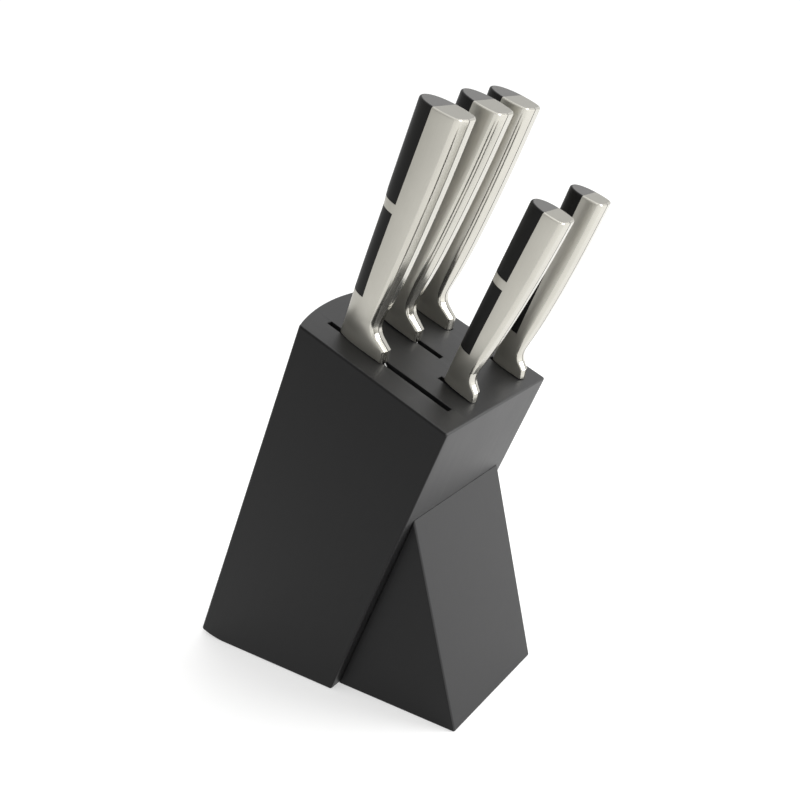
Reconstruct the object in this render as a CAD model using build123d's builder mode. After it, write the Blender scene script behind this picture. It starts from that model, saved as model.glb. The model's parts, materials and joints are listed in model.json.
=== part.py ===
# Knife block with five knives. Millimetres, +Z up, the front faces -Y, the width runs along X.
# The origin lies on the resting plane, under the middle of the whole object.
from build123d import *
from collections import namedtuple
from math import cos, radians, sin, tan
import os

# ---------------------------------------------------------------- driving sizes
# The body: a block that leans forward, cut square at its top and curved across its back.
BODY_WIDTH = 100.0
LEAN_DEG = 25.5
FRONT_LENGTH = 195.0
TOP_DEPTH = 98.0
BACK_BULGE = 11.0
EDGE_ROUND = 1.2
HEEL_RELIEF_RUN = 21.0
HEEL_RELIEF_RADIUS = 53.0

# The stand: a wedge in front of the body, a little narrower than it.
STAND_INSET = 7.4
STAND_DEPTH = 80.5
CREASE_UP_FRONT = 134.4

# The slots: gaps left between packing strips, in four of the nine layers of the body.
SLOT_WIDTH = 3.8

# The two dowels that hold the stand to the body.
DOWEL_DIAMETER = 8.0
DOWEL_LENGTH = 30.0
DOWEL_UP_FRONT = 70.0

# The joint line of body and stand lies this far behind the origin, which puts the origin under
# the middle of the whole object.
JOINT_LINE_Y = 5.277

# The knives: sizes that all five share.
BLADE_THICKNESS = 2.2
BLADE_SETBACK = 1.5
EDGE_THICKNESS = 0.5
HEEL_DROP = 9.0
TANG_THICKNESS = 2.0
TANG_SHARE = 0.5
TANG_SPINE_MARGIN = 0.6
TANG_BELLY_MARGIN = 1.8
# A blade is straight down to this share of its length, then curves in to its tip.
STRAIGHT_SHARE = 0.55
SEAT_GAP = 0.1
BRIDGE_HEIGHT = 4.7
BELLY_RISE = 0.8
# A handle's section is fullest at this share of its width, and narrows towards its spine.
FULLEST_AT = 0.56
SPINE_FLANK_AT = 0.15
SPINE_FLANK_FULLNESS = 0.72
NECK_SHARE = 0.115
GUARD_SHARE = 0.055
GUARD_ROOT = 4.0
# Where the handle's sections stand, as shares of its length, and how full each one is.
HANDLE_STATIONS = [
    (0.0, 0.33),
    (0.05, 0.37),
    (0.115, 0.56),
    (0.17, 0.76),
    (0.24, 0.9),
    (0.4, 0.98),
    (0.7, 1.0),
    (1.0, 1.0),
]

# A slot: its layer's middle across the width, and its front and back ends, measured from the
# front edge of the top face.
Slot = namedtuple("Slot", "x front back")
SLOTS = {
    "chef": Slot(-31.5, 11.3, 92.9),
    "utility": Slot(-12.5, 8.5, 31.5),
    "bread": Slot(4.0, 42.1, 93.0),
    "carving": Slot(34.5, 56.5, 93.5),
    "paring": Slot(34.5, 7.0, 28.5),
}

# A handle: its length, its width at the neck and at the butt, half its thickness at the belly
# corners and at its fullest, how far the guard reaches from the spine, and the inlays.
Handle = namedtuple("Handle", "length neck butt corner full guard inlay_depth inlay_start bridge")
LARGE = Handle(128.3, 21.2, 27.2, 8.0, 10.3, 31.8, 11.8, 29.0, 75.5)
SMALL = Handle(105.4, 15.6, 21.6, 6.7, 8.1, 20.3, 9.8, 24.0, 63.0)

# A knife: its handle, where its spine stands behind the top face's front edge, how far it tips
# forward in its slot, and its blade's length, width and how far the tip lies in from the spine.
Knife = namedtuple("Knife", "handle spine tip_deg length width tip_rise")
KNIVES = {
    "chef": Knife(LARGE, 85.2, 0.0, 200.0, 44.0, 14.0),
    "bread": Knife(LARGE, 89.4, 1.4, 200.0, 33.0, 22.0),
    "carving": Knife(LARGE, 88.4, 0.0, 195.0, 28.0, 16.0),
    "utility": Knife(SMALL, 28.9, 2.5, 125.0, 17.5, 12.0),
    "paring": Knife(SMALL, 27.1, -0.5, 90.0, 17.0, 11.0),
}

lean = radians(LEAN_DEG)
forward_up = Vector(0, -sin(lean), cos(lean))
backward_up = Vector(0, cos(lean), sin(lean))
joint_line = Vector(0, JOINT_LINE_Y, 0)
top_front = joint_line + forward_up * FRONT_LENGTH
half_width = BODY_WIDTH / 2
back_bottom_y = JOINT_LINE_Y + TOP_DEPTH / cos(lean)
reach = 400.0

# The top face has its own X across the block and its own Y from the front edge to the back.
top_plane = Plane(origin=top_front, x_dir=(1, 0, 0), z_dir=forward_up)
# The side view has its own X along the depth and its own Y upwards.
side_plane = Plane(origin=(0, 0, 0), x_dir=(0, 1, 0), z_dir=(1, 0, 0))
# The body's front face, its own Y upwards along the lean.
front_face_plane = Plane(origin=joint_line, x_dir=(1, 0, 0), z_dir=backward_up * -1)

os.makedirs("parts", exist_ok=True)


def save(part, name):
    """Label one finished piece and write its file."""
    part.label = name
    export_step(part, f"parts/{name}.step")
    print(f"{name:26s} {part.volume / 1000:9.2f} cm3")


# ---------------------------------------------------------------- the whole body, before slicing
with BuildPart() as body:
    with BuildSketch(top_plane) as section:
        with BuildLine():
            Polyline(
                (-half_width, TOP_DEPTH), (-half_width, 0), (half_width, 0), (half_width, TOP_DEPTH)
            )
            ThreePointArc(
                (half_width, TOP_DEPTH), (0, TOP_DEPTH + BACK_BULGE), (-half_width, TOP_DEPTH)
            )
        make_face()
    extrude(amount=-reach)
    split(bisect_by=Plane.XY, keep=Keep.TOP)
    # The heel: the underside curves up towards the back face.
    relief_start_y = back_bottom_y - HEEL_RELIEF_RUN
    with BuildSketch(side_plane):
        with Locations((relief_start_y + HEEL_RELIEF_RADIUS, HEEL_RELIEF_RADIUS)):
            Rectangle(
                2 * HEEL_RELIEF_RADIUS, 2 * HEEL_RELIEF_RADIUS, align=(Align.CENTER, Align.CENTER)
            )
        with Locations((relief_start_y, HEEL_RELIEF_RADIUS)):
            Circle(HEEL_RELIEF_RADIUS, mode=Mode.SUBTRACT)
        with Locations((relief_start_y, HEEL_RELIEF_RADIUS)):
            Rectangle(
                4 * HEEL_RELIEF_RADIUS,
                2 * HEEL_RELIEF_RADIUS,
                align=(Align.CENTER, Align.MIN),
                mode=Mode.SUBTRACT,
            )
    extrude(amount=reach / 2, both=True, mode=Mode.SUBTRACT)

    def is_smooth_seam(edge):
        """The line where the flat underside runs into the heel's curve."""
        middle = edge.center()
        return abs(middle.Z) < 0.01 and abs(middle.Y - relief_start_y) < 0.1

    fillet([edge for edge in body.edges() if not is_smooth_seam(edge)], EDGE_ROUND)


def slice_of_body(name, low_x, high_x, front=None, back=None):
    """One layer of the body, or the part of a layer between two distances from the front edge."""
    start = -reach if front is None else front
    end = reach if back is None else back
    with BuildPart() as piece:
        add(body.part)
        with BuildSketch(top_plane):
            with Locations(((low_x + high_x) / 2, (start + end) / 2)):
                Rectangle(high_x - low_x, end - start)
        extrude(amount=reach, both=True, mode=Mode.INTERSECT)
    return piece.part


# ---------------------------------------------------------------- boards of the body
layer_middles = sorted({slot.x for slot in SLOTS.values()})
board_names = ["left_cheek", "left_inner_board", "middle_inner_board", "right_inner_board", "right_cheek"]
board_lows = [-half_width] + [x + SLOT_WIDTH / 2 for x in layer_middles]
board_highs = [x - SLOT_WIDTH / 2 for x in layer_middles] + [half_width]
dowel_boards = {"left_inner_board", "right_inner_board"}

for name, low, high in zip(board_names, board_lows, board_highs):
    board = slice_of_body(name, low, high)
    if name in dowel_boards:
        with BuildPart() as bored:
            add(board)
            with BuildSketch(front_face_plane):
                with Locations(((low + high) / 2, DOWEL_UP_FRONT)):
                    Circle(DOWEL_DIAMETER / 2)
            extrude(amount=-DOWEL_LENGTH / 2, mode=Mode.SUBTRACT)
        board = bored.part
    save(board, name)

# ---------------------------------------------------------------- packing strips between the boards
for middle in layer_middles:
    ends = sorted((slot.front, slot.back, name) for name, slot in SLOTS.items() if slot.x == middle)
    low, high = middle - SLOT_WIDTH / 2, middle + SLOT_WIDTH / 2
    layer = ends[-1][2]
    save(slice_of_body(layer, low, high, back=ends[0][0]), f"{layer}_slot_front_strip")
    save(slice_of_body(layer, low, high, front=ends[-1][1]), f"{layer}_slot_back_strip")
    if len(ends) == 2:
        between = slice_of_body(layer, low, high, front=ends[0][1], back=ends[1][0])
        save(between, f"{layer}_slot_middle_strip")

# ---------------------------------------------------------------- stand and its dowels
crease = joint_line + forward_up * CREASE_UP_FRONT
dowel_places = [
    ((low + high) / 2, DOWEL_UP_FRONT)
    for name, low, high in zip(board_names, board_lows, board_highs)
    if name in dowel_boards
]

with BuildPart() as stand:
    with BuildSketch(side_plane):
        with BuildLine():
            Polyline(
                (JOINT_LINE_Y, 0), (JOINT_LINE_Y - STAND_DEPTH, 0), (crease.Y, crease.Z), close=True
            )
        make_face()
    extrude(amount=half_width - STAND_INSET, both=True)
    outer = [
        edge for edge in stand.edges() if abs((edge.center() - joint_line).dot(backward_up)) > 1.0
    ]
    fillet(outer, EDGE_ROUND)
    with BuildSketch(front_face_plane):
        with Locations(*dowel_places):
            Circle(DOWEL_DIAMETER / 2)
    extrude(amount=DOWEL_LENGTH / 2, mode=Mode.SUBTRACT)
save(stand.part, "stand")

with BuildPart() as dowels:
    with BuildSketch(front_face_plane):
        with Locations(*dowel_places):
            Circle(DOWEL_DIAMETER / 2)
    extrude(amount=DOWEL_LENGTH / 2, both=True)
save(dowels.part, "stand_dowels")


# ---------------------------------------------------------------- knives
def knife_plane(knife, slot):
    """The knife's own frame: X from its spine to its edge, Y across, Z up its handle."""
    tip = radians(knife.tip_deg)
    up = forward_up * cos(tip) - backward_up * sin(tip)
    towards_edge = backward_up * -cos(tip) - forward_up * sin(tip)
    # A knife that tips forward stands on its guard, one that tips back on its spine.
    lift = SEAT_GAP + max(0.0, sin(tip)) * knife.handle.guard
    origin = top_front + backward_up * knife.spine + forward_up * lift + Vector(slot.x, 0, 0)
    return Plane(origin=origin, x_dir=towards_edge, z_dir=up)


def side_view(plane):
    """The plane of a knife's side view: its own X towards the edge, its own Y up the handle."""
    return Plane(origin=plane.origin, x_dir=plane.x_dir, z_dir=plane.y_dir * -1)


def tang_rectangle(handle):
    """Low X, high X and top of the tang inside a handle."""
    return (
        handle.inlay_depth + TANG_SPINE_MARGIN,
        handle.neck - TANG_BELLY_MARGIN,
        handle.length * TANG_SHARE,
    )


def make_blade(knife, plane):
    """A ground blade with its tang, as one piece of steel."""
    spine_x = BLADE_SETBACK
    edge_x = spine_x + knife.width
    heel_x = min(edge_x, knife.handle.guard - BLADE_SETBACK)
    bend = knife.length * STRAIGHT_SHARE
    tip_x = spine_x + knife.tip_rise
    tang_low, tang_high, tang_top = tang_rectangle(knife.handle)
    with BuildPart() as blade:
        with BuildSketch(side_view(plane)):
            with BuildLine():
                Polyline(
                    (spine_x, -bend), (spine_x, -SEAT_GAP), (heel_x, -SEAT_GAP), (edge_x, -HEEL_DROP),
                    (edge_x, -bend),
                )
                Spline((edge_x, -bend), (tip_x, -knife.length), tangents=((0, -1), (-0.5, -1)))
                Spline((tip_x, -knife.length), (spine_x, -bend), tangents=((-0.3, 1), (0, 1)))
            make_face()
        extrude(amount=BLADE_THICKNESS / 2, both=True)
        # The grind: full thickness at the spine, thin at the edge.
        with BuildSketch(plane):
            with BuildLine():
                Polyline(
                    (spine_x, -BLADE_THICKNESS / 2),
                    (edge_x, -EDGE_THICKNESS / 2),
                    (edge_x, EDGE_THICKNESS / 2),
                    (spine_x, BLADE_THICKNESS / 2),
                    close=True,
                )
            make_face()
        extrude(amount=-knife.length, mode=Mode.INTERSECT)
        with BuildSketch(side_view(plane)):
            with Locations(((tang_low + tang_high) / 2, -HEEL_DROP)):
                Rectangle(
                    tang_high - tang_low, tang_top + HEEL_DROP, align=(Align.CENTER, Align.MIN)
                )
        extrude(amount=TANG_THICKNESS / 2, both=True)
    return blade.part


def lens_section(plane, width, corner, full):
    """Handle section: a shallow V at the belly, full sides and a rounded spine."""
    with BuildSketch(plane) as section:
        with BuildLine():
            Polyline((width - BELLY_RISE, -corner), (width, 0), (width - BELLY_RISE, corner))
            Spline(
                (width - BELLY_RISE, corner),
                (width * FULLEST_AT, full),
                (width * SPINE_FLANK_AT, full * SPINE_FLANK_FULLNESS),
                (0, 0),
                (width * SPINE_FLANK_AT, -full * SPINE_FLANK_FULLNESS),
                (width * FULLEST_AT, -full),
                (width - BELLY_RISE, -corner),
            )
        make_face()
    return section.sketch


def make_handle_shape(handle, plane):
    """The whole outside of a handle with its bolster and guard, before the inlays are let in."""
    sections = []
    for share, fullness in HANDLE_STATIONS:
        grow = max(0.0, share - NECK_SHARE) / (1 - NECK_SHARE)
        width = handle.neck + (handle.butt - handle.neck) * grow
        station = plane.offset(handle.length * share)
        sections.append(
            lens_section(station, width, handle.corner * fullness, handle.full * fullness)
        )
    with BuildPart() as shape:
        loft(sections, ruled=True)
        guard_top = handle.length * GUARD_SHARE
        throat = handle.length * NECK_SHARE
        with BuildSketch(side_view(plane)):
            with BuildLine():
                Polyline(
                    (GUARD_ROOT, throat), (GUARD_ROOT, 0), (handle.guard, 0), (handle.guard, guard_top)
                )
                Spline(
                    (handle.guard, guard_top),
                    (handle.neck - BELLY_RISE, throat),
                    tangents=((-0.8, 0.6), (0, 1)),
                )
                Line((handle.neck - BELLY_RISE, throat), (GUARD_ROOT, throat))
            make_face()
        extrude(amount=handle.full * HANDLE_STATIONS[0][1], both=True)
    return shape.part


def cut_of_shape(shape, plane, depth, low, high, mode):
    """The spine side of a handle between two heights, or the handle without it."""
    with BuildPart() as piece:
        add(shape)
        with BuildSketch(side_view(plane)):
            with Locations((depth, low)):
                Rectangle(reach, high - low, align=(Align.MAX, Align.MIN))
        extrude(amount=reach, both=True, mode=mode)
    return piece.part


for name, knife in KNIVES.items():
    handle = knife.handle
    plane = knife_plane(knife, SLOTS[name])
    shape = make_handle_shape(handle, plane)
    lower = (handle.inlay_start, handle.bridge)
    upper = (handle.bridge + BRIDGE_HEIGHT, handle.length + 1)
    save(make_blade(knife, plane), f"{name}_blade")
    save(
        cut_of_shape(shape, plane, handle.inlay_depth, *lower, Mode.INTERSECT), f"{name}_lower_inlay"
    )
    save(
        cut_of_shape(shape, plane, handle.inlay_depth, *upper, Mode.INTERSECT), f"{name}_upper_inlay"
    )
    steel = cut_of_shape(shape, plane, handle.inlay_depth, *lower, Mode.SUBTRACT)
    steel = cut_of_shape(steel, plane, handle.inlay_depth, *upper, Mode.SUBTRACT)
    tang_low, tang_high, tang_top = tang_rectangle(handle)
    with BuildPart() as handle_piece:
        add(steel)
        with BuildSketch(side_view(plane)):
            with Locations(((tang_low + tang_high) / 2, -1)):
                Rectangle(tang_high - tang_low, tang_top + 1, align=(Align.CENTER, Align.MIN))
        extrude(amount=TANG_THICKNESS / 2, both=True, mode=Mode.SUBTRACT)
    save(handle_piece.part, f"{name}_handle")
    print("   pulls along", tuple(round(value, 6) for value in plane.z_dir))
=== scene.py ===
"""Looks of a knife block with five knives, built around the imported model."""

import json
from collections import namedtuple
from math import acos, cos, pi, radians, sin

import bmesh
import bpy
from mathutils import Matrix, Vector


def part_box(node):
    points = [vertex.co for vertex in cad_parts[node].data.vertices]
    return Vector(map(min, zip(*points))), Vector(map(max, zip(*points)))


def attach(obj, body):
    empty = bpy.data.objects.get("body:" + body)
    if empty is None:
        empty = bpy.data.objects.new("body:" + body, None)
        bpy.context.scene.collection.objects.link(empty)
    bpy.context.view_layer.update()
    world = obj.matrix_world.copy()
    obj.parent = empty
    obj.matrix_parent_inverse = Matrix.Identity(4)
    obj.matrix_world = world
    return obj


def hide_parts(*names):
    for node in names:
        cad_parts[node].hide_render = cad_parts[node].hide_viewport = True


bl_info = {
    "name": "Knife block",
    "version": (1, 0, 0),
    "blender": (4, 5, 0),
    "location": "View3D > Sidebar > Knife block",
    "description": "Painted knife block, its stand and five steel-handled knives",
    "category": "Object",
}

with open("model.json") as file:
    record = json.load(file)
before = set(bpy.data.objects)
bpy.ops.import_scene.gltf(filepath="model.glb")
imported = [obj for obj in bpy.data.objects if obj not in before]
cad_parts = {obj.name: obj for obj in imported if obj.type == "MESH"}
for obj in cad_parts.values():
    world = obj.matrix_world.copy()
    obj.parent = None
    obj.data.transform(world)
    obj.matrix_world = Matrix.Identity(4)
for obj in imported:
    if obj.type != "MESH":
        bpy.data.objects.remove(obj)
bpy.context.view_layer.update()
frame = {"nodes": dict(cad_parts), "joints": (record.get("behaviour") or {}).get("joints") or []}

# ------------------------------------------------------------------ the object's own layout
# A handle: its length, its width at the neck and at the butt, half its thickness at the belly's
# corners and at its fullest, how far its guard reaches, where its inlays lie, and how much of the
# spine's hollow it has.
Handle = namedtuple(
    "Handle", "length neck butt corner full guard inlay_depth inlay_start bridge hollow"
)
LARGE = Handle(0.1283, 0.0203, 0.0270, 0.0079, 0.0102, 0.0306, 0.0118, 0.0290, 0.0755, 1.0)
SMALL = Handle(0.1054, 0.0147, 0.0213, 0.0066, 0.0080, 0.0200, 0.0098, 0.0240, 0.0630, 0.25)
# A knife: its handle, its blade's length and width, and how far the tip lies in from the spine.
Knife = namedtuple("Knife", "handle length width tip_rise")
KNIVES = {
    "chef": Knife(LARGE, 0.200, 0.044, 0.014),
    "bread": Knife(LARGE, 0.200, 0.033, 0.022),
    "carving": Knife(LARGE, 0.195, 0.028, 0.016),
    "utility": Knife(SMALL, 0.125, 0.0175, 0.012),
    "paring": Knife(SMALL, 0.090, 0.017, 0.011),
}
# A slot: the strip whose layer it is in, and its ends behind the top face's front edge.
Slot = namedtuple("Slot", "strip front back")
SLOTS = {
    "chef": Slot("chef_slot_front_strip", 0.0113, 0.0929),
    "utility": Slot("utility_slot_front_strip", 0.0085, 0.0315),
    "bread": Slot("bread_slot_front_strip", 0.0421, 0.0930),
    "carving": Slot("carving_slot_front_strip", 0.0565, 0.0935),
    "paring": Slot("carving_slot_front_strip", 0.0070, 0.0285),
}
BODY_NODES = [name for name in frame["nodes"] if name.endswith(("_cheek", "_board", "_strip"))]
JOINTS = {joint["child"]: Vector(joint["axis"]) for joint in frame["joints"]}
LEAN = acos(JOINTS["chef_knife"].z)
JOINT_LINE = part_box("stand")[1].y

# How fine the meshes are, and the angle past which an edge stays crisp.
HEEL_STEPS = 10
BACK_COLUMNS = 24
THROAT_STEPS = 16
SPINE_STEPS = 14
BELLY_STEPS = 8
BUTT_STEPS = 3
HANDLE_STEP = 0.003
EDGE_STEPS = 3
DOWEL_SIDES = 32
FLOOR_CELLS = 8
SHARP_ANGLE, PAINT_SHARP_ANGLE, CUTTER_SHARP_ANGLE = 24.0, 38.0, 30.0
# The body: its width, its dowels' length, how far down its slots are cut, which is out through its
# underside, and how far in from the sides the cheeks' darker paint, a painted shade, reaches.
BODY_WIDTH = 2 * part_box("right_cheek")[1].x
DOWEL_LENGTH = 0.030
SLOT_REACH = 0.32
CHEEK_SHADE_REACH = 0.0004
# How full a handle is, as shares of its length: at its fullest, and at the belly's corners.
FULLNESS = [
    (0.0, 0.38), (0.05, 0.42), (0.115, 0.59), (0.17, 0.74), (0.24, 0.88), (0.4, 0.98), (0.7, 1.0),
    (1.0, 1.0),
]
CORNER_FULLNESS = [
    (0.0, 0.45), (0.05, 0.48), (0.115, 0.62), (0.17, 0.75), (0.24, 0.88), (0.4, 0.98), (0.7, 1.0),
    (1.0, 1.0),
]
FULLEST_AT = 0.595
SPINE_ROUNDNESS = 2.2
# The belly's line from neck to butt, and how far the spine lies in, by share of the length.
BELLY_LINE = [
    (0.137, 0.0), (0.212, 0.17), (0.29, 0.34), (0.345, 0.44), (0.55, 0.71), (0.784, 0.91),
    (1.0, 1.0),
]
SPINE_LINE = [(0.0, 0.0005), (0.2, 0.0011), (0.58, 0.0012), (0.65, 0.0004), (1.0, 0.0001)]
# The inlays' inner edge, as a share of their depth, at the base and how much more at the butt.
INLAY_BASE, INLAY_TAPER = 0.90, 0.16
# The guard: its tip's height, where its straight top ends, where the throat turns up and where the
# neck begins, as shares of the length; how far out the straight top ends, how far the foot splays
# out below the tip, and the ridge's rise there as a share of the belly's.
GUARD_TIP, GUARD_STRAIGHT, THROAT_TURN, NECK_START = 0.052, 0.079, 0.098, 0.137
GUARD_STRAIGHT_REACH = 0.41
GUARD_SPLAY = 0.0012
GUARD_RISE = 0.85
# The rounding of a handle's base, as heights and how far each is drawn in, and of its butt.
BASE_ROUNDING = ((0.0, 0.0003), (0.0001, 0.0001), (0.0003, 0.0))
BUTT_ROUND = 0.0010
# The belly's soft corner, as a share of the half thickness there, and the seam along its ridge.
CORNER_SOFTNESS = 0.34
CORNER_STEPS = 6
SEAM_HALF = 0.00034
SEAM_DEPTH = 0.00030
# The inlays' chamfer, and the gap between inlay and steel.
INLAY_CHAMFER = 0.00014
INLAY_GAP = 0.00002
# A blade: how far it is set back from the spine, the share of its length that is straight, where
# its teeth begin below the handle, and the wheels that grind them.
BLADE_SETBACK, BLADE_STRAIGHT, TEETH_START = 0.0015, 0.55, -0.014
WHEEL_SIDES, CUTTER_WIDTH, MERGE_DISTANCE = 28, 0.006, 1e-6
# The stage: the floor's half width and glow, the walls' light and the side on which they are
# dimmer, the lamps (name, place, aim, width, height, power) and the camera.
FLOOR_HALF = 14.0
FLOOR_GLOW = 0.48
WALL_STRENGTH = 1.06
WALL, DIM_WALL = (1.0, 1.0, 1.0), (0.60, 0.60, 0.58)
DIM_SIDE, DIM_FROM, DIM_FULLY = (-0.80, 0.58, 0.15), 0.1, 0.9
LAMPS = [
    ("overhead", (0.7, -0.6, 1.6), (0.0, 0.0, 0.1), 1.4, 1.4, 12.0),
    ("front_right", (0.7, -1.4, 0.7), (0.0, 0.0, 0.12), 0.9, 0.9, 20.0),
]
SENSOR_WIDTH = 36.0
CAMERA_PLACE = (-0.39419, -0.30307, 0.33891)
CAMERA_RIGHT = (0.57967, -0.81419, -0.03286)
CAMERA_UP = (0.28877, 0.16755, 0.94262)
CAMERA_BACK = (-0.76197, -0.55590, 0.33224)


# ------------------------------------------------------------------ settings
def size(name, description, value):
    """A length setting, in metres."""
    return bpy.props.FloatProperty(
        name=name, description=description, default=value, min=0.0, unit="LENGTH", precision=5
    )


def share(name, description, value):
    """A setting between nought and one."""
    return bpy.props.FloatProperty(
        name=name, description=description, default=value, min=0.0, max=1.0, subtype="FACTOR"
    )


def colour(name, description, value):
    """A colour setting."""
    return bpy.props.FloatVectorProperty(
        name=name, description=description, default=value, size=3, min=0.0, max=1.0, subtype="COLOR"
    )


class BlockSettings(bpy.types.PropertyGroup):
    """Sizes of the wooden block and the colour of its paint."""

    lean: bpy.props.FloatProperty(
        name="Lean", description="How far the body leans forward", default=LEAN,
        subtype="ANGLE",
    )
    front_length: size("Front length", "Height of the body along its lean", 0.195)
    top_depth: size("Top depth", "Depth of the top face at its sides", 0.098)
    back_bulge: size("Back bulge", "How far the back curves out at its middle", 0.011)
    joint_line: size("Joint line", "Where body and stand meet, behind the origin", JOINT_LINE)
    heel_run: size("Heel run", "Length of the curve under the back edge", 0.021)
    heel_radius: size("Heel radius", "Radius of the curve under the back edge", 0.053)
    stand_depth: size("Stand depth", "Depth of the stand's foot", 0.0805)
    crease: size("Crease", "How far up the front the stand reaches", 0.1344)
    edge_round: size("Edge rounding", "Rounding of the outer edges", 0.0012)
    joint_round: size("Joint rounding", "Rounding where the stand meets the body", 0.0006)
    mouth_round: size("Slot rounding", "Rounding of the slots' mouths", 0.00025)
    paint: colour("Paint", "Colour of the paint", (0.0060, 0.0060, 0.0064))
    paint_roughness: share("Paint roughness", "How matt the paint is", 0.44)


class KnifeSettings(bpy.types.PropertyGroup):
    """Finish of the knives."""

    steel: colour("Steel", "Colour of the handles' steel", (0.425, 0.413, 0.372))
    satin: share("Satin roughness", "Roughness of the brushed sides", 0.37)
    polish: share("Polish roughness", "Roughness of the polished belly", 0.19)
    blade: colour("Blade", "Colour of the blades", (0.55, 0.55, 0.54))
    inlay: colour("Inlay", "Colour of the inlays", (0.0040, 0.0039, 0.0038))
    inlay_roughness: share("Inlay roughness", "How matt the inlays are", 0.46)
    belly_rise: size("Belly rise", "How far the belly's ridge stands out", 0.0008)
    bridge_height: size("Bridge height", "Height of the steel band between the inlays", 0.0047)
    tooth_pitch: size("Tooth pitch", "Spacing of the bread knife's teeth", 0.006)
    tooth_depth: size("Tooth depth", "How deep the bread knife's scallops are", 0.0012)


class StageSettings(bpy.types.PropertyGroup):
    """Floor, lights and camera."""

    floor: colour("Floor", "Colour of the floor", (0.60, 0.60, 0.60))
    lens: bpy.props.FloatProperty(
        name="Lens", description="Focal length of the camera", default=42.27, unit="CAMERA"
    )


def block():
    return bpy.context.scene.knife_block


def knives():
    return bpy.context.scene.knife_block_knives


def stage():
    return bpy.context.scene.knife_block_stage


# ------------------------------------------------------------------ shader maths
class Value:
    """A node's output that can be used in an expression."""

    def __init__(self, tree, socket):
        self.tree, self.socket = tree, socket

    def _math(self, operation, *others):
        node = self.tree.nodes.new("ShaderNodeMath")
        node.operation = operation
        for socket, value in zip(node.inputs, others):
            put(self.tree, socket, value)
        return Value(self.tree, node.outputs[0])

    def __add__(self, other):
        return self._math("ADD", self, other)

    def __radd__(self, other):
        return self._math("ADD", other, self)

    def __mul__(self, other):
        return self._math("MULTIPLY", self, other)

    def __rmul__(self, other):
        return self._math("MULTIPLY", other, self)


def put(tree, socket, value):
    """Give a socket a value or a link."""
    if isinstance(value, Value):
        tree.links.new(value.socket, socket)
    else:
        socket.default_value = value


class Nodes:
    """A node tree under construction."""

    def __init__(self, tree):
        self.tree = tree
        self.tree.nodes.clear()

    def node(self, kind, settings=None, output=0, **sockets):
        """Add a node: its settings first, then its sockets' values or links."""
        node = self.tree.nodes.new(kind)
        for key, value in (settings or {}).items():
            setattr(node, key, value)
        names = {socket.identifier: socket for socket in node.inputs}
        for key, value in sockets.items():
            put(self.tree, names.get(key) or node.inputs[key.replace("_", " ")], value)
        return Value(self.tree, node.outputs[output])

    def blend(self, factor, first, second):
        """A colour between two, by a factor."""
        node = self.tree.nodes.new("ShaderNodeMix")
        node.data_type = "RGBA"
        put(self.tree, node.inputs[0], factor)
        put(self.tree, node.inputs[6], (*first, 1.0) if isinstance(first, tuple) else first)
        put(self.tree, node.inputs[7], (*second, 1.0) if isinstance(second, tuple) else second)
        return Value(self.tree, node.outputs[2])


class Finish(Nodes):
    """A material under construction: one Principled shader and the nodes that feed it."""

    def __init__(self, name):
        self.material = bpy.data.materials.new(name)
        self.material.use_nodes = True
        super().__init__(self.material.node_tree)
        self.shader = self.tree.nodes.new("ShaderNodeBsdfPrincipled")
        out = self.tree.nodes.new("ShaderNodeOutputMaterial")
        self.tree.links.new(self.shader.outputs["BSDF"], out.inputs["Surface"])

    def place(self, scale=(1.0, 1.0, 1.0), turn=(0.0, 0.0, 0.0)):
        """Object coordinates, turned and scaled."""
        where = self.node("ShaderNodeTexCoord", output="Object")
        turned = self.node(
            "ShaderNodeMapping", {"vector_type": "POINT"}, Vector=where, Rotation=turn
        )
        return self.node("ShaderNodeMapping", {"vector_type": "POINT"}, Vector=turned, Scale=scale)

    def noise(self, where, scale, detail=2.0, roughness=0.5):
        return self.node(
            "ShaderNodeTexNoise", Vector=where, Scale=scale, Detail=detail, Roughness=roughness
        )

    def bump(self, height, strength, distance):
        return self.node("ShaderNodeBump", Height=height, Strength=strength, Distance=distance)

    def set(self, **sockets):
        for key, value in sockets.items():
            put(self.tree, self.shader.inputs[key.replace("_", " ")], value)


def shade(base, factor):
    """A colour made lighter or darker."""
    return tuple(min(1.0, channel * factor) for channel in base)


def painted_wood(name="satin_black_paint", gloss=0.47, depth=1.0):
    """Satin black paint over wood: soft orange peel, faint grain under it, uneven tone."""
    finish = Finish(name)
    settings = block()
    lean_turn = (-settings.lean, 0.0, 0.0)
    place = finish.place()
    peel = finish.noise(place, 900.0, 2.0)
    along = finish.place(scale=(260.0, 260.0, 14.0), turn=lean_turn)
    grain = finish.noise(along, 1.0, 3.0, 0.6)
    patches = finish.noise(place, 28.0, 3.0, 0.55)
    # Below one, depth darkens the paint: painted shade, used on the cheeks.
    paint = shade(tuple(settings.paint), depth)
    finish.set(
        Base_Color=finish.blend(patches, shade(paint, 0.85), shade(paint, 1.25)),
        Roughness=settings.paint_roughness - 0.05 + patches * 0.07 + grain * 0.04,
        Normal=finish.bump(peel * 0.6 + grain * 0.7, 0.25, 0.00006),
        Specular_IOR_Level=gloss,
    )
    return finish.material


def shaded_cheek_paint():
    """The paint on the smooth outer cheeks, flatter and darker: painted shade on the sides."""
    return painted_wood("cheek_paint_painted_shade", 0.17, 0.9)


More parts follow.
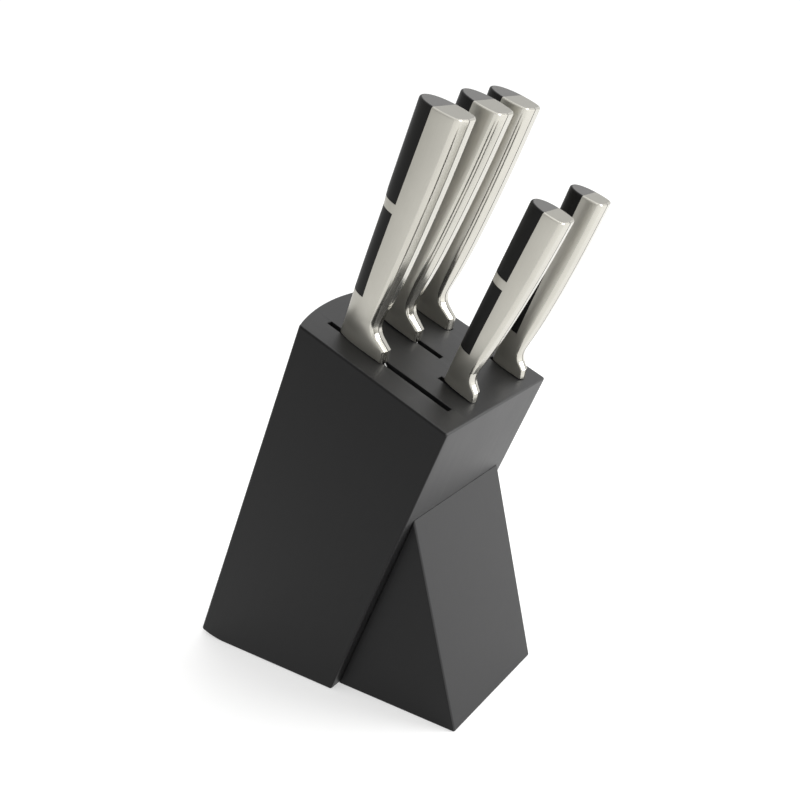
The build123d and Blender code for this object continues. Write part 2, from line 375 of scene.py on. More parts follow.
def satin_steel():
    """Steel brushed along the handle."""
    finish = Finish("brushed_handle_steel")
    settings = knives()
    turn = (-block().lean, 0.0, 0.0)
    fine = finish.noise(finish.place(scale=(5200.0, 5200.0, 60.0), turn=turn), 1.0, 2.0, 0.6)
    broad = finish.noise(finish.place(scale=(420.0, 420.0, 9.0), turn=turn), 1.0, 2.0)
    clouds = finish.noise(finish.place(), 55.0, 3.0)
    steel = tuple(settings.steel)
    finish.set(
        Base_Color=finish.blend(
            fine * 0.5 + clouds * 0.5, shade(steel, 0.92), shade(steel, 1.16)
        ),
        Metallic=0.84,
        Roughness=settings.satin - 0.06 + fine * 0.08 + broad * 0.05,
        Normal=finish.bump(fine * 0.7 + broad * 0.3, 0.30, 0.00003),
    )
    return finish.material


def butt_steel_painted_shade():
    """The ground end of a handle, duller than its sides, its darker colour a painted shade."""
    finish = Finish("ground_butt_steel_painted_shade")
    settings = knives()
    across = finish.noise(finish.place(scale=(90.0, 3600.0, 3600.0)), 1.0, 2.0, 0.6)
    steel = tuple(settings.steel)
    finish.set(
        Base_Color=finish.blend(across, shade(steel, 0.58), shade(steel, 0.70)),
        Metallic=1.0,
        Roughness=settings.satin + across * 0.1,
        Normal=finish.bump(across, 0.3, 0.00003),
    )
    return finish.material


def butt_inlay():
    """The sanded end of an inlay, greyer than its moulded sides."""
    finish = Finish("sanded_inlay_end")
    dust = finish.noise(finish.place(), 900.0, 3.0, 0.6)
    finish.set(
        Base_Color=finish.blend(dust, (0.050, 0.049, 0.047), (0.085, 0.083, 0.080)),
        Roughness=0.5 + dust * 0.1,
        Normal=finish.bump(dust, 0.3, 0.00004),
    )
    return finish.material


def polished_steel_painted_highlight():
    """The handle's polished belly, lighter than the satin sides: a painted highlight."""
    finish = Finish("polished_handle_steel_painted_highlight")
    settings = knives()
    turn = (-block().lean, 0.0, 0.0)
    lines = finish.noise(finish.place(scale=(900.0, 900.0, 12.0), turn=turn), 1.0, 2.0)
    smudge = finish.noise(finish.place(), 90.0, 3.0)
    steel = tuple(settings.steel)
    finish.set(
        # A lighter copy of the handle steel: painted highlight on the belly's facets.
        Base_Color=finish.blend(smudge, shade(steel, 1.08), shade(steel, 1.22)),
        Metallic=1.0,
        Roughness=settings.polish - 0.02 + smudge * 0.05,
        Normal=finish.bump(lines, 0.10, 0.00002),
    )
    return finish.material


def seam_painted_shade():
    """Dark steel in the seam along the belly: painted shade for the dark reflection on the ridge.
    """
    finish = Finish("handle_seam_painted_shade")
    clouds = finish.noise(finish.place(), 400.0, 2.0)
    steel = tuple(knives().steel)
    finish.set(
        Base_Color=finish.blend(clouds, shade(steel, 0.22), shade(steel, 0.34)),
        Metallic=0.6,
        Roughness=0.42 + clouds * 0.1,
    )
    return finish.material


def blade_steel():
    """Blade steel, ground across the blade."""
    finish = Finish("ground_blade_steel")
    settings = knives()
    turn = (-block().lean, 0.0, 0.0)
    across = finish.noise(finish.place(scale=(60.0, 40.0, 4200.0), turn=turn), 1.0, 2.0)
    clouds = finish.noise(finish.place(), 40.0, 3.0)
    steel = tuple(settings.blade)
    finish.set(
        Base_Color=finish.blend(clouds, shade(steel, 0.93), shade(steel, 1.06)),
        Metallic=1.0,
        Roughness=0.16 + across * 0.12,
        Normal=finish.bump(across, 0.22, 0.00002),
    )
    return finish.material


def moulded_inlay():
    """Matt black moulded inlay."""
    finish = Finish("moulded_black_inlay")
    settings = knives()
    spark = finish.noise(finish.place(), 2600.0, 2.0)
    clouds = finish.noise(finish.place(), 60.0, 2.0)
    black = tuple(settings.inlay)
    finish.set(
        Base_Color=finish.blend(clouds, shade(black, 0.85), shade(black, 1.2)),
        Roughness=settings.inlay_roughness - 0.04 + clouds * 0.08,
        Normal=finish.bump(spark, 0.25, 0.00003),
        Specular_IOR_Level=0.16,
    )
    return finish.material


def beech():
    """Plain beech of the dowels."""
    finish = Finish("turned_beech")
    rings = finish.noise(finish.place(scale=(500.0, 60.0, 500.0)), 1.0, 4.0)
    finish.set(
        Base_Color=finish.blend(rings, (0.60, 0.42, 0.26), (0.78, 0.60, 0.42)),
        Roughness=0.5 + rings * 0.15,
        Normal=finish.bump(rings, 0.3, 0.0001),
    )
    return finish.material


# The finishes made so far, by name.
MADE = {}


def material(name):
    """A finish by name, made on first use."""
    makers = {
        "satin_black_paint": painted_wood,
        "cheek_paint_painted_shade": shaded_cheek_paint,
        "brushed_handle_steel": satin_steel,
        "polished_handle_steel_painted_highlight": polished_steel_painted_highlight,
        "handle_seam_painted_shade": seam_painted_shade,
        "ground_blade_steel": blade_steel,
        "ground_butt_steel_painted_shade": butt_steel_painted_shade,
        "moulded_black_inlay": moulded_inlay,
        "sanded_inlay_end": butt_inlay,
        "turned_beech": beech,
    }
    if name not in MADE:
        MADE[name] = makers[name]()
    return MADE[name]


# ------------------------------------------------------------------ meshes
class Shell:
    """A closed mesh put together face by face."""

    def __init__(self, name):
        self.name = name
        self.points = []
        self.faces = []
        self.slots = []
        self.rounds = {}
        self.known = {}

    def point(self, place):
        """The index of a point; the same place is never made twice."""
        key = tuple(round(value * 1e8) for value in place)
        if key not in self.known:
            self.known[key] = len(self.points)
            self.points.append(tuple(place))
        return self.known[key]

    def face(self, places, slot=0):
        """A face through some places, without the ones that coincide."""
        ring = [self.point(place) for place in places]
        ring = [index for at, index in enumerate(ring) if index != ring[at - 1]]
        if len(ring) > 2:
            self.faces.append(ring)
            self.slots.append(slot)

    def tube(self, loops, slots=None):
        """Quads between closed loops of equal length, and a face over each end."""
        count = len(loops[0])
        for low, high in zip(loops, loops[1:]):
            for at in range(count):
                after = (at + 1) % count
                slot = slots[at] if slots else 0
                self.face((low[at], low[after], high[after], high[at]), slot)
        self.face(loops[0])
        self.face(loops[-1])

    def round_edge(self, first, second, radius):
        """Mark one edge for rounding."""
        self.rounds[frozenset((self.point(first), self.point(second)))] = radius

    def build(self, materials, sharp_angle=CUTTER_SHARP_ANGLE, cutters=()):
        """The finished object: edges rounded, cutters taken out, faces turned outwards."""
        mesh = bpy.data.meshes.new(self.name)
        mesh.from_pydata(self.points, [], self.faces)
        for item in materials:
            mesh.materials.append(item)
        mesh.polygons.foreach_set("material_index", self.slots)
        turn_outwards(mesh)
        piece = bpy.data.objects.new(self.name, mesh)
        bpy.context.scene.collection.objects.link(piece)
        if self.rounds:
            largest = max(self.rounds.values())
            weights = mesh.attributes.new("bevel_weight_edge", "FLOAT", "EDGE")
            for edge in mesh.edges:
                radius = self.rounds.get(frozenset(edge.vertices), 0.0)
                weights.data[edge.index].value = radius / largest
            rounding = piece.modifiers.new("rounding", "BEVEL")
            rounding.limit_method = "WEIGHT"
            rounding.width = largest
            rounding.segments = EDGE_STEPS
            rounding.use_clamp_overlap = False
        for cutter in cutters:
            cut = piece.modifiers.new("cut", "BOOLEAN")
            cut.operation = "DIFFERENCE"
            cut.solver = "EXACT"
            cut.object = cutter
        bake_modifiers(piece)
        for cutter in cutters:
            bpy.data.objects.remove(cutter)
        return even_shading(piece, sharp_angle)


def turn_outwards(mesh):
    """Point every face of a closed mesh outwards."""
    work = bmesh.new()
    work.from_mesh(mesh)
    bmesh.ops.recalc_face_normals(work, faces=work.faces)
    work.to_mesh(mesh)
    work.free()


def bake_modifiers(piece):
    """Turn a piece and its modifiers into a plain mesh."""
    view = bpy.context.evaluated_depsgraph_get()
    mesh = bpy.data.meshes.new_from_object(
        piece.evaluated_get(view), preserve_all_data_layers=True, depsgraph=view
    )
    mesh.name = piece.name
    piece.modifiers.clear()
    piece.data = mesh


def even_shading(piece, sharp_angle):
    """Smooth shading with crisp edges, where large faces keep their own direction."""
    piece.data.shade_smooth()
    piece.data.set_sharp_from_angle(angle=radians(sharp_angle))
    even = piece.modifiers.new("even", "WEIGHTED_NORMAL")
    even.keep_sharp = True
    even.weight = 70
    bake_modifiers(piece)
    return piece


def smooth_through(position, stations):
    """A value that passes smoothly, without overshoot, through stations of (position, value)."""
    if position <= stations[0][0]:
        return stations[0][1]
    if position >= stations[-1][0]:
        return stations[-1][1]
    slopes = [(b[1] - a[1]) / (b[0] - a[0]) for a, b in zip(stations, stations[1:])]
    rates = [0.0]
    for before, after in zip(slopes, slopes[1:]):
        rates.append(2 * before * after / (before + after) if before * after > 0 else 0.0)
    rates.append(slopes[-1])
    rates[0] = slopes[0] * 0.5
    for index, (low, high) in enumerate(zip(stations, stations[1:])):
        if position <= high[0]:
            span = high[0] - low[0]
            t = (position - low[0]) / span
            return (
                (2 * t**3 - 3 * t**2 + 1) * low[1]
                + (t**3 - 2 * t**2 + t) * span * rates[index]
                + (3 * t**2 - 2 * t**3) * high[1]
                + (t**3 - t**2) * span * rates[index + 1]
            )
    return stations[-1][1]


def spread(low, high, step):
    """Even values from low to high, about a step apart."""
    count = max(1, round((high - low) / step))
    return [low + (high - low) * index / count for index in range(count + 1)]


# ------------------------------------------------------------------ the block
def lean_axes():
    """Unit vectors up the lean and back along the top face, and the top face's front edge."""
    settings = block()
    up = Vector((0.0, -sin(settings.lean), cos(settings.lean)))
    back = Vector((0.0, cos(settings.lean), sin(settings.lean)))
    start = Vector((0.0, settings.joint_line, 0.0)) + up * settings.front_length
    return up, back, start


def slot_cutter(slot):
    """What a slot takes out of the body: a long box with a small flare at its mouth."""
    up, back, start = lean_axes()
    settings = block()
    low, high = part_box(slot.strip)
    flare = settings.mouth_round
    loops = []
    for height, grow in ((-SLOT_REACH, 0.0), (-flare, 0.0), (flare, 2 * flare)):
        loops.append([
            start + up * height + back * depth + Vector((x, 0.0, 0.0))
            for x, depth in (
                (low.x - grow, slot.front - grow), (high.x + grow, slot.front - grow),
                (high.x + grow, slot.back + grow), (low.x - grow, slot.back + grow),
            )
        ])
    shell = Shell("slot_cutter")
    shell.tube(loops)
    return shell.build([])


def dowel_cutters():
    """The holes of the dowels, through the joint of body and stand."""
    up, back, _start = lean_axes()
    low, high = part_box("stand_dowels")
    centre = (low + high) / 2
    radius = (high.z - low.z - DOWEL_LENGTH * back.z) / 2 / up.z
    side_turn = 2 * pi / DOWEL_SIDES
    cutters = []
    for x in (low.x + radius, high.x - radius):
        loops = [
            [
                Vector((x, centre.y, centre.z)) + back * along
                + Vector((cos(turn), 0.0, 0.0)) * radius + up * (sin(turn) * radius)
                for turn in spread(0.0, 2 * pi - side_turn, side_turn)
            ]
            for along in (-DOWEL_LENGTH / 2, DOWEL_LENGTH / 2)
        ]
        shell = Shell("dowel_cutter")
        shell.tube(loops)
        cutters.append(shell.build([]))
    return cutters


def body_profile(x):
    """The body's outline in its side view at one place across its width."""
    settings = block()
    up, back, start = lean_axes()
    half = BODY_WIDTH / 2
    bow = (half**2 + settings.back_bulge**2) / (2 * settings.back_bulge)
    bulge = (bow**2 - x**2) ** 0.5 - bow + settings.back_bulge
    depth = settings.top_depth + bulge
    foot = Vector((0.0, settings.joint_line, 0.0))
    back_foot = settings.joint_line + settings.top_depth / cos(settings.lean)
    centre = Vector((0.0, back_foot - settings.heel_run, settings.heel_radius))
    # Where the back face meets the heel's curve: a point on a line, and on a circle.
    base = foot + back * depth - centre
    along = base.dot(up)
    reach_back = (along**2 - base.length_squared + settings.heel_radius**2) ** 0.5
    meet = foot + back * depth - up * (along + reach_back)
    reach = meet - centre
    last = acos(-reach.z / settings.heel_radius)
    heel = [
        centre + Vector((0.0, sin(turn), -cos(turn))) * settings.heel_radius
        for turn in spread(0.0, last, last / HEEL_STEPS)
    ]
    places = [foot, start, start + back * depth] + heel[::-1]
    return [place + Vector((x, 0.0, 0.0)) for place in places]


def paints():
    return [material("satin_black_paint"), material("cheek_paint_painted_shade")]


def paint_shade_on_cheeks(piece, half):
    """Give the two outer side faces, at half the width, the cheeks' darker paint: painted shade."""
    for face in piece.data.polygons:
        if abs(face.center.x) > half - CHEEK_SHADE_REACH:
            face.material_index = 1


class OBJECT_OT_knife_block_body(bpy.types.Operator):
    """Make the painted body with its slots"""

    bl_idname = "object.knife_block_body"
    bl_label = "Body"

    def execute(self, context):
        settings = block()
        half = BODY_WIDTH / 2
        columns = [body_profile(x) for x in spread(-half, half, BODY_WIDTH / BACK_COLUMNS)]
        shell = Shell("painted_body")
        shell.tube(columns)
        radius = settings.edge_round
        count = len(columns[0])
        for column in (columns[0], columns[-1]):
            for at in range(count):
                shell.round_edge(column[at], column[(at + 1) % count], radius)
        for left, right in zip(columns, columns[1:]):
            for corner in (0, 1, 2, 3):
                shell.round_edge(left[corner], right[corner], radius)
        cutters = [slot_cutter(slot) for slot in SLOTS.values()] + dowel_cutters()
        piece = shell.build(paints(), PAINT_SHARP_ANGLE, cutters)
        paint_shade_on_cheeks(piece, half)
        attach(piece, "block")
        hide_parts(*BODY_NODES)
        return {"FINISHED"}


class OBJECT_OT_knife_block_stand(bpy.types.Operator):
    """Make the wedge in front of the body, and finish the dowels inside"""

    bl_idname = "object.knife_block_stand"
    bl_label = "Stand"

    def execute(self, context):
        settings = block()
        up, back, _start = lean_axes()
        low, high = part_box("stand")
        heel = Vector((0.0, settings.joint_line, 0.0))
        toe = heel - Vector((0.0, settings.stand_depth, 0.0))
        crease = heel + up * settings.crease
        loops = [
            [corner + Vector((x, 0.0, 0.0)) for corner in (heel, toe, crease)]
            for x in (low.x, high.x)
        ]
        shell = Shell("painted_stand")
        shell.tube(loops)
        radius = settings.edge_round
        for loop in loops:
            shell.round_edge(loop[0], loop[1], radius)
            shell.round_edge(loop[1], loop[2], radius)
            shell.round_edge(loop[2], loop[0], settings.joint_round)
        for corner, amount in ((1, radius), (2, settings.joint_round)):
            shell.round_edge(loops[0][corner], loops[1][corner], amount)
        piece = shell.build(paints(), PAINT_SHARP_ANGLE, dowel_cutters())
        paint_shade_on_cheeks(piece, high.x)
        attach(piece, "block")
        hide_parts("stand")
        finish_node("stand_dowels", "turned_beech")
        return {"FINISHED"}


def finish_node(name, finish):
    """Give a CAD node its material."""
    node = frame["nodes"][name]
    node.data.materials.clear()
    node.data.materials.append(material(finish))


# ------------------------------------------------------------------ the knives
class Place:
    """A knife's own frame: from its spine towards its edge, across, and up its handle."""

    def __init__(self, name):
        self.up = JOINTS[f"{name}_knife"].normalized()
        self.across = Vector((1.0, 0.0, 0.0))
        self.forward = self.across.cross(self.up)
        points = [vertex.co for vertex in frame["nodes"][f"{name}_handle"].data.vertices]
        xs = [point.x for point in points]
        self.origin = (
            self.across * ((min(xs) + max(xs)) / 2)
            + self.up * min(point.dot(self.up) for point in points)
            + self.forward * min(point.dot(self.forward) for point in points)
        )

    def __call__(self, depth, height, side):
        return self.origin + self.forward * depth + self.up * height + self.across * side


# One level of a handle: its height, how far the spine, the belly's corner and its ridge stand
# out, the ridge's own height, half the thickness at the fullest and at the corner, the inlays'
# inner edge, and how much the outline is drawn in there.
Level = namedtuple("Level", "height spine corner ridge ridge_height full corner_side inlay inset")


def ridge_path(handle):
    """The belly's ridge in the side view, from the guard's tip to the neck."""
    length = handle.length
    out = handle.guard - handle.neck
    tip = Vector((handle.guard, length * GUARD_TIP))
    straight_end = Vector((handle.neck + out * GUARD_STRAIGHT_REACH, length * GUARD_STRAIGHT))
    turn = Vector((handle.neck, length * THROAT_TURN))
    neck = Vector((handle.neck, length * NECK_START))
    path = [tip.lerp(straight_end, t) for t in (0.0, 0.25, 0.5, 0.75)]
    for t in spread(0.0, 1.0, 1.0 / THROAT_STEPS):
        path.append(straight_end * (1 - t) ** 2 + turn * 2 * t * (1 - t) + neck * t**2)
    return path


def drawn_level(handle, height, corner, ridge, ridge_height, inset=0.0):
    """One level of a handle, with what follows from its height filled in."""
    share = height / handle.length
    return Level(
        height, smooth_through(share, SPINE_LINE) * handle.hollow, corner, ridge,
        ridge_height, handle.full * smooth_through(share, FULLNESS),
        handle.corner * smooth_through(share, CORNER_FULLNESS),
        handle.inlay_depth * (INLAY_BASE + INLAY_TAPER * share), inset,
    )


def guard_levels(handle):
    """The levels of the foot and the guard, up to the neck."""
    rise = knives().belly_rise
    path = ridge_path(handle)
    runs = [(after - before).normalized() for before, after in zip(path, path[1:])]
    inner = []
    for at, point in enumerate(path):
        if at == 0:
            # The tip's corner, where its upright front meets the guard's top.
            sides = (Vector((-1.0, 0.0)), Vector((-runs[0].y, runs[0].x)))
            normal = (sides[0] + sides[1]) / (1 + sides[0].dot(sides[1]))
        else:
            along = runs[min(at, len(runs) - 1)] + runs[at - 1]
            normal = Vector((-along.y, along.x)).normalized()
        inner.append(point + normal * rise * (GUARD_RISE + (1 - GUARD_RISE) * at / len(path)))
    inner[-1].y = path[-1].y
    levels = []
    foot = [(height, height, inset) for height, inset in BASE_ROUNDING]
    foot += [(inner[0].y * t, path[0].y * t, 0.0) for t in (0.3, 0.6, 0.85)]
    for height, ridge_height, inset in foot:
        splay = GUARD_SPLAY * (1 - height / inner[0].y)
        levels.append(
            drawn_level(
                handle, height, inner[0].x + splay, path[0].x + splay, ridge_height, inset
            )
        )
    for ridge, corner in zip(path, inner):
        levels.append(drawn_level(handle, corner.y, corner.x, ridge.x, ridge.y))
    return levels


def handle_levels(handle):
    """Every level of a handle from its base to its butt."""
    length = handle.length
    rise = knives().belly_rise

    def straight(height, inset=0.0):
        grow = smooth_through(height / length, BELLY_LINE)
        ridge = handle.neck + (handle.butt - handle.neck) * grow
        return drawn_level(handle, height, ridge - rise, ridge, height, inset)

    levels = guard_levels(handle)
    neck = length * NECK_START
    stops = [
        neck, handle.inlay_start, handle.bridge, handle.bridge + knives().bridge_height,
        length - BUTT_ROUND,
    ]
    for low, high in zip(stops, stops[1:]):
        for height in spread(low, high, HANDLE_STEP)[1:]:
            levels.append(straight(height))
    for turn in spread(0.0, pi / 2, pi / 2 / BUTT_STEPS)[1:]:
        height = length - BUTT_ROUND * (1 - sin(turn))
        levels.append(straight(height, BUTT_ROUND * (1 - cos(turn))))
    return levels


def side_at(level, depth):
    """Half the handle's thickness at a distance from its back line."""
    width = level.corner - level.spine
    fullest = width * FULLEST_AT
    depth -= level.spine
    if depth < fullest:
        share = (fullest - max(0.0, depth)) / fullest
        return level.full * max(0.0, 1 - share**SPINE_ROUNDNESS) ** (1 / SPINE_ROUNDNESS)
    share = (depth - fullest) / (width - fullest)
    return level.full + (level.corner_side - level.full) * share**2


def drawn_in(level, depth, side):
    """A point of the outline, drawn in towards the middle of its section."""
    middle = (level.ridge + level.spine) / 2
    return (
        middle + (depth - middle) * (1 - level.inset / (middle - level.spine)),
        side * (1 - level.inset / level.full),
    )


def spine_line(place, level, flat=False):
    """The spine side of one level, from the far side round to the near one."""
    reach = level.inlay - level.spine
    turns = spread(0.0, pi / 2, pi / 2 / SPINE_STEPS)
    shares = [1 - cos(turn) for turn in turns]
    places = []
    for sign, row in ((1, shares[::-1]), (-1, shares[1:])):
        for share in row:
            depth = level.spine + reach * share
            side = sign * side_at(level, depth)
            if flat:
                side = sign * side_at(level, level.inlay) * share
                depth = level.inlay
            depth, side = drawn_in(level, depth, side)
            places.append(place(depth, level.height, side))
    return places


def belly_line(place, level):
    """The belly side of one level, and each span's finish: satin, polished or the seam."""
    softness = level.corner_side * CORNER_SOFTNESS
    begin = level.corner - softness
    near = []
    for depth in spread(level.inlay, begin, (begin - level.inlay) / BELLY_STEPS):
        near.append(Vector((depth, level.height, -side_at(level, depth))))
    corner = Vector((level.corner, level.height, -level.corner_side))
    ridge = Vector((level.ridge, level.ridge_height, 0.0))
    first, last = near[-1], corner + (ridge - corner).normalized() * softness
    for t in spread(0.0, 1.0, 1.0 / CORNER_STEPS)[1:]:
        near.append(first * (1 - t) ** 2 + corner * 2 * t * (1 - t) + last * t**2)
    near.append(last.lerp(ridge, 1 + SEAM_HALF / last.z))
    inward = Vector((corner.x - ridge.x, corner.y - ridge.y, 0.0)).normalized()
    seam = ridge + inward * SEAM_DEPTH
    far = [Vector((point.x, point.y, -point.z)) for point in near[::-1]]
    places = []
    for point in near + [seam] + far:
        depth, side = drawn_in(level, point.x, point.z)
        places.append(place(depth, point.y, side))
    # Slot 1, the polished facets, carries a painted highlight; slot 2, the seam, painted shade.
    half = [0] * (BELLY_STEPS + 1) + [1] * CORNER_STEPS + [2]
    return places, half + half[::-1]


def make_handle(name, knife):
    """The steel of a handle: bolster, guard, bridge and belly in one piece."""
    handle, place = knife.handle, Place(name)
    bridge_top = handle.bridge + knives().bridge_height
    loops = []
    for level in handle_levels(handle):
        belly, finishes = belly_line(place, level)
        height = level.height
        let_in = handle.inlay_start < height < handle.bridge or height > bridge_top
        if height in (handle.inlay_start, bridge_top):
            versions = (False, True)
        elif height == handle.bridge:
            versions = (True, False)
        else:
            versions = (let_in,)
        for flat in versions:
            loops.append(belly + spine_line(place, level, flat)[1:-1])
    shell = Shell(f"{name}_handle_steel")
    shell.tube(loops, finishes + [0] * (len(loops[0]) - len(finishes)))
    shell.slots[-1] = 3
    piece = shell.build(
        [
            material("brushed_handle_steel"), material("polished_handle_steel_painted_highlight"),
            material("handle_seam_painted_shade"), material("ground_butt_steel_painted_shade"),
        ],
        SHARP_ANGLE,
    )
    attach(piece, f"{name}_knife")
    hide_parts(f"{name}_handle")


def make_inlay(name, knife, which, low, high):
    """One black inlay, let into the spine side of a handle."""
    handle, place = knife.handle, Place(name)
    crisp = INLAY_CHAMFER
    levels = [level for level in handle_levels(handle) if low <= level.height <= high]
    rows = [
        levels[0]._replace(height=low + INLAY_GAP, inset=crisp),
        levels[0]._replace(height=low + INLAY_GAP + crisp),
    ] + levels[1:]
    if high < handle.length:
        rows[-1] = levels[-1]._replace(height=high - INLAY_GAP - crisp)
        rows.append(levels[-1]._replace(height=high - INLAY_GAP, inset=crisp))
    loops = []
    for level in rows:
        # A chamfer along both inner edges leaves a hairline between inlay and steel.
        inner = level.inlay - INLAY_GAP
        side = side_at(level, inner)
        loop = spine_line(place, level)[1:-1]
        rim = [
            (inner - crisp, -side), (inner, crisp - side), (inner, side - crisp),
            (inner - crisp, side),
        ]
        for depth, across in rim:
            depth, across = drawn_in(level, depth, across)
            loop.append(place(depth, level.height, across))
        loops.append(loop)
    shell = Shell(f"{name}_{which}_inlay_black")
    shell.tube(loops)
    if high == handle.length:
        shell.slots[-1] = 1
    piece = shell.build(
        [material("moulded_black_inlay"), material("sanded_inlay_end")], SHARP_ANGLE
    )
    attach(piece, f"{name}_knife")
    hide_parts(f"{name}_{which}_inlay")


class OBJECT_OT_knife_block_handles(bpy.types.Operator):
    """Make the five steel handles"""

    bl_idname = "object.knife_block_handles"
    bl_label = "Handles"

    def execute(self, context):
        for name, knife in KNIVES.items():
            make_handle(name, knife)
        return {"FINISHED"}


class OBJECT_OT_knife_block_inlays(bpy.types.Operator):
    """Make the black inlays of the handles"""

    bl_idname = "object.knife_block_inlays"
    bl_label = "Inlays"

    def execute(self, context):
        for name, knife in KNIVES.items():
            handle = knife.handle
            make_inlay(name, knife, "lower", handle.inlay_start, handle.bridge)
            make_inlay(
                name, knife, "upper", handle.bridge + knives().bridge_height, handle.length
            )
        return {"FINISHED"}


def scallop_tree():
    """A node tree that grinds a row of scallops into a blade, along a line and a curve."""
    tree = bpy.data.node_groups.new("scalloped_edge", "GeometryNodeTree")
    face = tree.interface
    face.new_socket("Blade", in_out="INPUT", socket_type="NodeSocketGeometry")
    for label in ("Heel", "Bend", "Bend handle", "Tip handle", "Tip"):
        face.new_socket(label, in_out="INPUT", socket_type="NodeSocketVector")
    for label in ("Pitch", "Radius", "Reach", "Cutter width"):
        socket = face.new_socket(label, in_out="INPUT", socket_type="NodeSocketFloat")
        socket.subtype = "DISTANCE"
    face.new_socket("Finish", in_out="INPUT", socket_type="NodeSocketMaterial")
    face.new_socket("Blade", in_out="OUTPUT", socket_type="NodeSocketGeometry")
    nodes = Nodes(tree)
    given = tree.nodes.new("NodeGroupInput")
    inputs = {socket.name: Value(tree, socket) for socket in given.outputs}
    straight = nodes.node(
        "GeometryNodeCurvePrimitiveLine", Start=inputs["Heel"], End=inputs["Bend"]
    )
    curved = nodes.node(
        "GeometryNodeCurvePrimitiveBezierSegment", Start=inputs["Bend"],
        Start_Handle=inputs["Bend handle"], End_Handle=inputs["Tip handle"], End=inputs["Tip"],
    )
    edge = tree.nodes.new("GeometryNodeJoinGeometry")
    for part in (straight, curved):
        tree.links.new(part.socket, edge.inputs[0])
    spaced = nodes.node(
        "GeometryNodeResampleCurve", {"mode": "LENGTH"}, Curve=Value(tree, edge.outputs[0]),
        Length=inputs["Pitch"],
    )
    along = nodes.node("GeometryNodeInputTangent")
    outward = nodes.node(
        "ShaderNodeVectorMath", {"operation": "CROSS_PRODUCT"}, Vector=along,
        Vector_001=(1.0, 0.0, 0.0),
    )
    moved = nodes.node(
        "ShaderNodeVectorMath", {"operation": "SCALE"}, Vector=outward, Scale=inputs["Reach"]
    )
    places = nodes.node("GeometryNodeSetPosition", Geometry=spaced, Offset=moved)
    wheel = nodes.node(
        "GeometryNodeMeshCylinder", Vertices=WHEEL_SIDES, Radius=inputs["Radius"],
        Depth=inputs["Cutter width"],
    )
    wheels = nodes.node(
        "GeometryNodeInstanceOnPoints", Points=places, Instance=wheel, Rotation=(0.0, pi / 2, 0.0)
    )
    ground = nodes.node("GeometryNodeMeshBoolean", {"operation": "DIFFERENCE", "solver": "EXACT"})
    grinding = ground.socket.node
    tree.links.new(inputs["Blade"].socket, grinding.inputs["Mesh 1"])
    tree.links.new(wheels.socket, grinding.inputs["Mesh 2"])
    plain = nodes.node("GeometryNodeRealizeInstances", Geometry=ground)
    finished = nodes.node("GeometryNodeSetMaterial", Geometry=plain, Material=inputs["Finish"])
    out = tree.nodes.new("NodeGroupOutput")
    tree.links.new(finished.socket, out.inputs[0])
    return tree


def make_scalloped_blade(name, knife):
    """A bread knife's blade: the plain blade with scallops ground into its edge."""
    work = bmesh.new()
    work.from_mesh(frame["nodes"][f"{name}_blade"].data)
    bmesh.ops.remove_doubles(work, verts=work.verts, dist=MERGE_DISTANCE)
    mesh = bpy.data.meshes.new(f"{name}_blade_scalloped")
    work.to_mesh(mesh)
    work.free()
    turn_outwards(mesh)
    piece = bpy.data.objects.new(mesh.name, mesh)
    bpy.context.scene.collection.objects.link(piece)
    place = Place(name)
    edge = BLADE_SETBACK + knife.width
    bend, tip = -knife.length * BLADE_STRAIGHT, -knife.length
    tip_depth = BLADE_SETBACK + knife.tip_rise
    pull = (bend - tip) / 3
    pitch, depth = knives().tooth_pitch, knives().tooth_depth
    radius = (pitch**2 / 4 + depth**2) / (2 * depth)
    values = {
        "Heel": place(edge, TEETH_START, 0.0),
        "Bend": place(edge, bend - pitch / 2, 0.0),
        "Bend handle": place(edge, bend - pull, 0.0),
        "Tip handle": place(tip_depth + pull / 2, tip + pull, 0.0),
        "Tip": place(tip_depth, tip, 0.0),
        "Pitch": pitch,
        "Radius": radius,
        "Reach": radius - depth,
        "Cutter width": CUTTER_WIDTH,
        "Finish": material("ground_blade_steel"),
    }
    grind = piece.modifiers.new("scallops", "NODES")
    tree = scallop_tree()
    grind.node_group = tree
    for socket in tree.interface.items_tree:
        if socket.in_out == "INPUT" and socket.name in values:
            grind[socket.identifier] = values[socket.name]
    bake_modifiers(piece)
    even_shading(piece, SHARP_ANGLE)
    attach(piece, f"{name}_knife")
    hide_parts(f"{name}_blade")


class OBJECT_OT_knife_block_blades(bpy.types.Operator):
    """Finish the blades, and grind the bread knife's scallops"""

    bl_idname = "object.knife_block_blades"
    bl_label = "Blades"

    def execute(self, context):
        for name, knife in KNIVES.items():
            if name == "bread":
                make_scalloped_blade(name, knife)
            else:
                finish_node(f"{name}_blade", "ground_blade_steel")
        return {"FINISHED"}


# ------------------------------------------------------------------ the stage
def pale_floor():
    """A seamless pale floor."""
    finish = Finish("pale_floor")
    tone = tuple(stage().floor)
    clouds = finish.noise(finish.place(), 1.5, 2.0)
    finish.set(
        Base_Color=finish.blend(clouds, shade(tone, 0.995), shade(tone, 1.0)),
        Roughness=0.9,
        Emission_Color=(1.0, 1.0, 1.0, 1.0),
        Emission_Strength=FLOOR_GLOW,
    )
    return finish.material


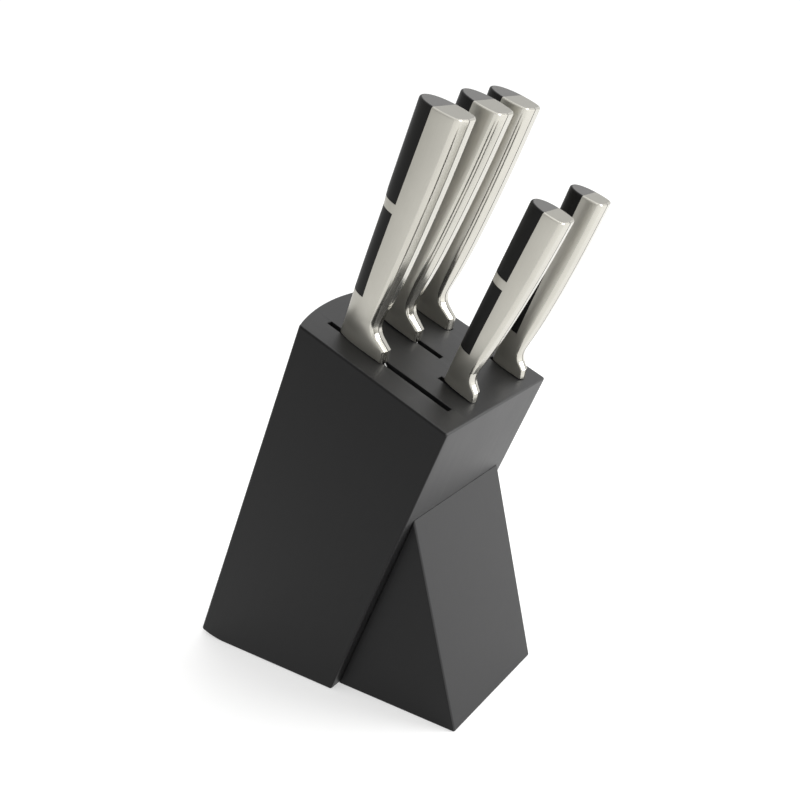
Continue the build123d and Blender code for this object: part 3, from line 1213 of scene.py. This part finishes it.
def studio_walls():
    """Pale studio walls, dimmer on one side."""
    world = bpy.data.worlds.new("studio")
    world.use_nodes = True
    nodes = Nodes(world.node_tree)
    where = nodes.node("ShaderNodeTexCoord", output="Generated")
    facing = nodes.node(
        "ShaderNodeVectorMath", {"operation": "DOT_PRODUCT"}, output="Value",
        Vector=where, Vector_001=DIM_SIDE,
    )
    dimness = nodes.node(
        "ShaderNodeMapRange", {"interpolation_type": "SMOOTHSTEP"}, output="Result",
        Value=facing, From_Min=DIM_FROM, From_Max=DIM_FULLY,
    )
    light = nodes.node(
        "ShaderNodeBackground", output="Background", Color=nodes.blend(dimness, WALL, DIM_WALL),
        Strength=WALL_STRENGTH,
    )
    out = world.node_tree.nodes.new("ShaderNodeOutputWorld")
    world.node_tree.links.new(light.socket, out.inputs["Surface"])
    return world


def soft_light(name, place, towards, width, height, power):
    """An area light that faces a point."""
    light = bpy.data.lights.new(name, "AREA")
    light.shape = "RECTANGLE"
    light.size, light.size_y = width, height
    light.energy = power
    lamp = bpy.data.objects.new(name, light)
    lamp.location = place
    lamp.rotation_mode = "QUATERNION"
    lamp.rotation_quaternion = (Vector(towards) - Vector(place)).to_track_quat("-Z", "Y")
    bpy.context.scene.collection.objects.link(lamp)


class SCENE_OT_knife_block_stage(bpy.types.Operator):
    """Make the floor, the lights and the camera"""

    bl_idname = "scene.knife_block_stage"
    bl_label = "Stage"

    def execute(self, context):
        scene = context.scene
        mesh = bpy.data.meshes.new("floor")
        work = bmesh.new()
        bmesh.ops.create_grid(work, x_segments=FLOOR_CELLS, y_segments=FLOOR_CELLS, size=FLOOR_HALF)
        work.to_mesh(mesh)
        work.free()
        floor = bpy.data.objects.new("floor", mesh)
        mesh.materials.append(pale_floor())
        scene.collection.objects.link(floor)

        scene.world = studio_walls()
        scene.view_settings.view_transform = "Standard"

        for lamp in LAMPS:
            soft_light(*lamp)

        camera = bpy.data.objects.new("camera", bpy.data.cameras.new("camera"))
        camera.data.lens = stage().lens
        camera.data.sensor_width = SENSOR_WIDTH
        camera.matrix_world = Matrix.LocRotScale(
            Vector(CAMERA_PLACE), Matrix((CAMERA_RIGHT, CAMERA_UP, CAMERA_BACK)).transposed(), None
        )
        scene.collection.objects.link(camera)
        scene.camera = camera
        return {"FINISHED"}


class VIEW3D_PT_knife_block(bpy.types.Panel):
    """The pieces of the knife block, in the order they are made"""

    bl_idname = "VIEW3D_PT_knife_block"
    bl_label = "Knife block"
    bl_space_type = "VIEW_3D"
    bl_region_type = "UI"
    bl_category = "Knife block"

    def draw(self, context):
        for operator in OPERATORS:
            self.layout.operator(operator.bl_idname)


OPERATORS = (
    SCENE_OT_knife_block_stage,
    OBJECT_OT_knife_block_body,
    OBJECT_OT_knife_block_stand,
    OBJECT_OT_knife_block_handles,
    OBJECT_OT_knife_block_inlays,
    OBJECT_OT_knife_block_blades,
)
GROUPS = {
    "knife_block": BlockSettings,
    "knife_block_knives": KnifeSettings,
    "knife_block_stage": StageSettings,
}


def register():
    for group in GROUPS.values():
        bpy.utils.register_class(group)
    for name, group in GROUPS.items():
        setattr(bpy.types.Scene, name, bpy.props.PointerProperty(type=group))
    for item in (*OPERATORS, VIEW3D_PT_knife_block):
        bpy.utils.register_class(item)


def unregister():
    for item in (VIEW3D_PT_knife_block, *reversed(OPERATORS)):
        bpy.utils.unregister_class(item)
    for name, group in GROUPS.items():
        delattr(bpy.types.Scene, name)
        bpy.utils.unregister_class(group)


def main():
    register()
    bpy.ops.scene.knife_block_stage()
    bpy.ops.object.knife_block_body()
    bpy.ops.object.knife_block_stand()
    bpy.ops.object.knife_block_handles()
    bpy.ops.object.knife_block_inlays()
    bpy.ops.object.knife_block_blades()


if __name__ == "__main__":
    main()
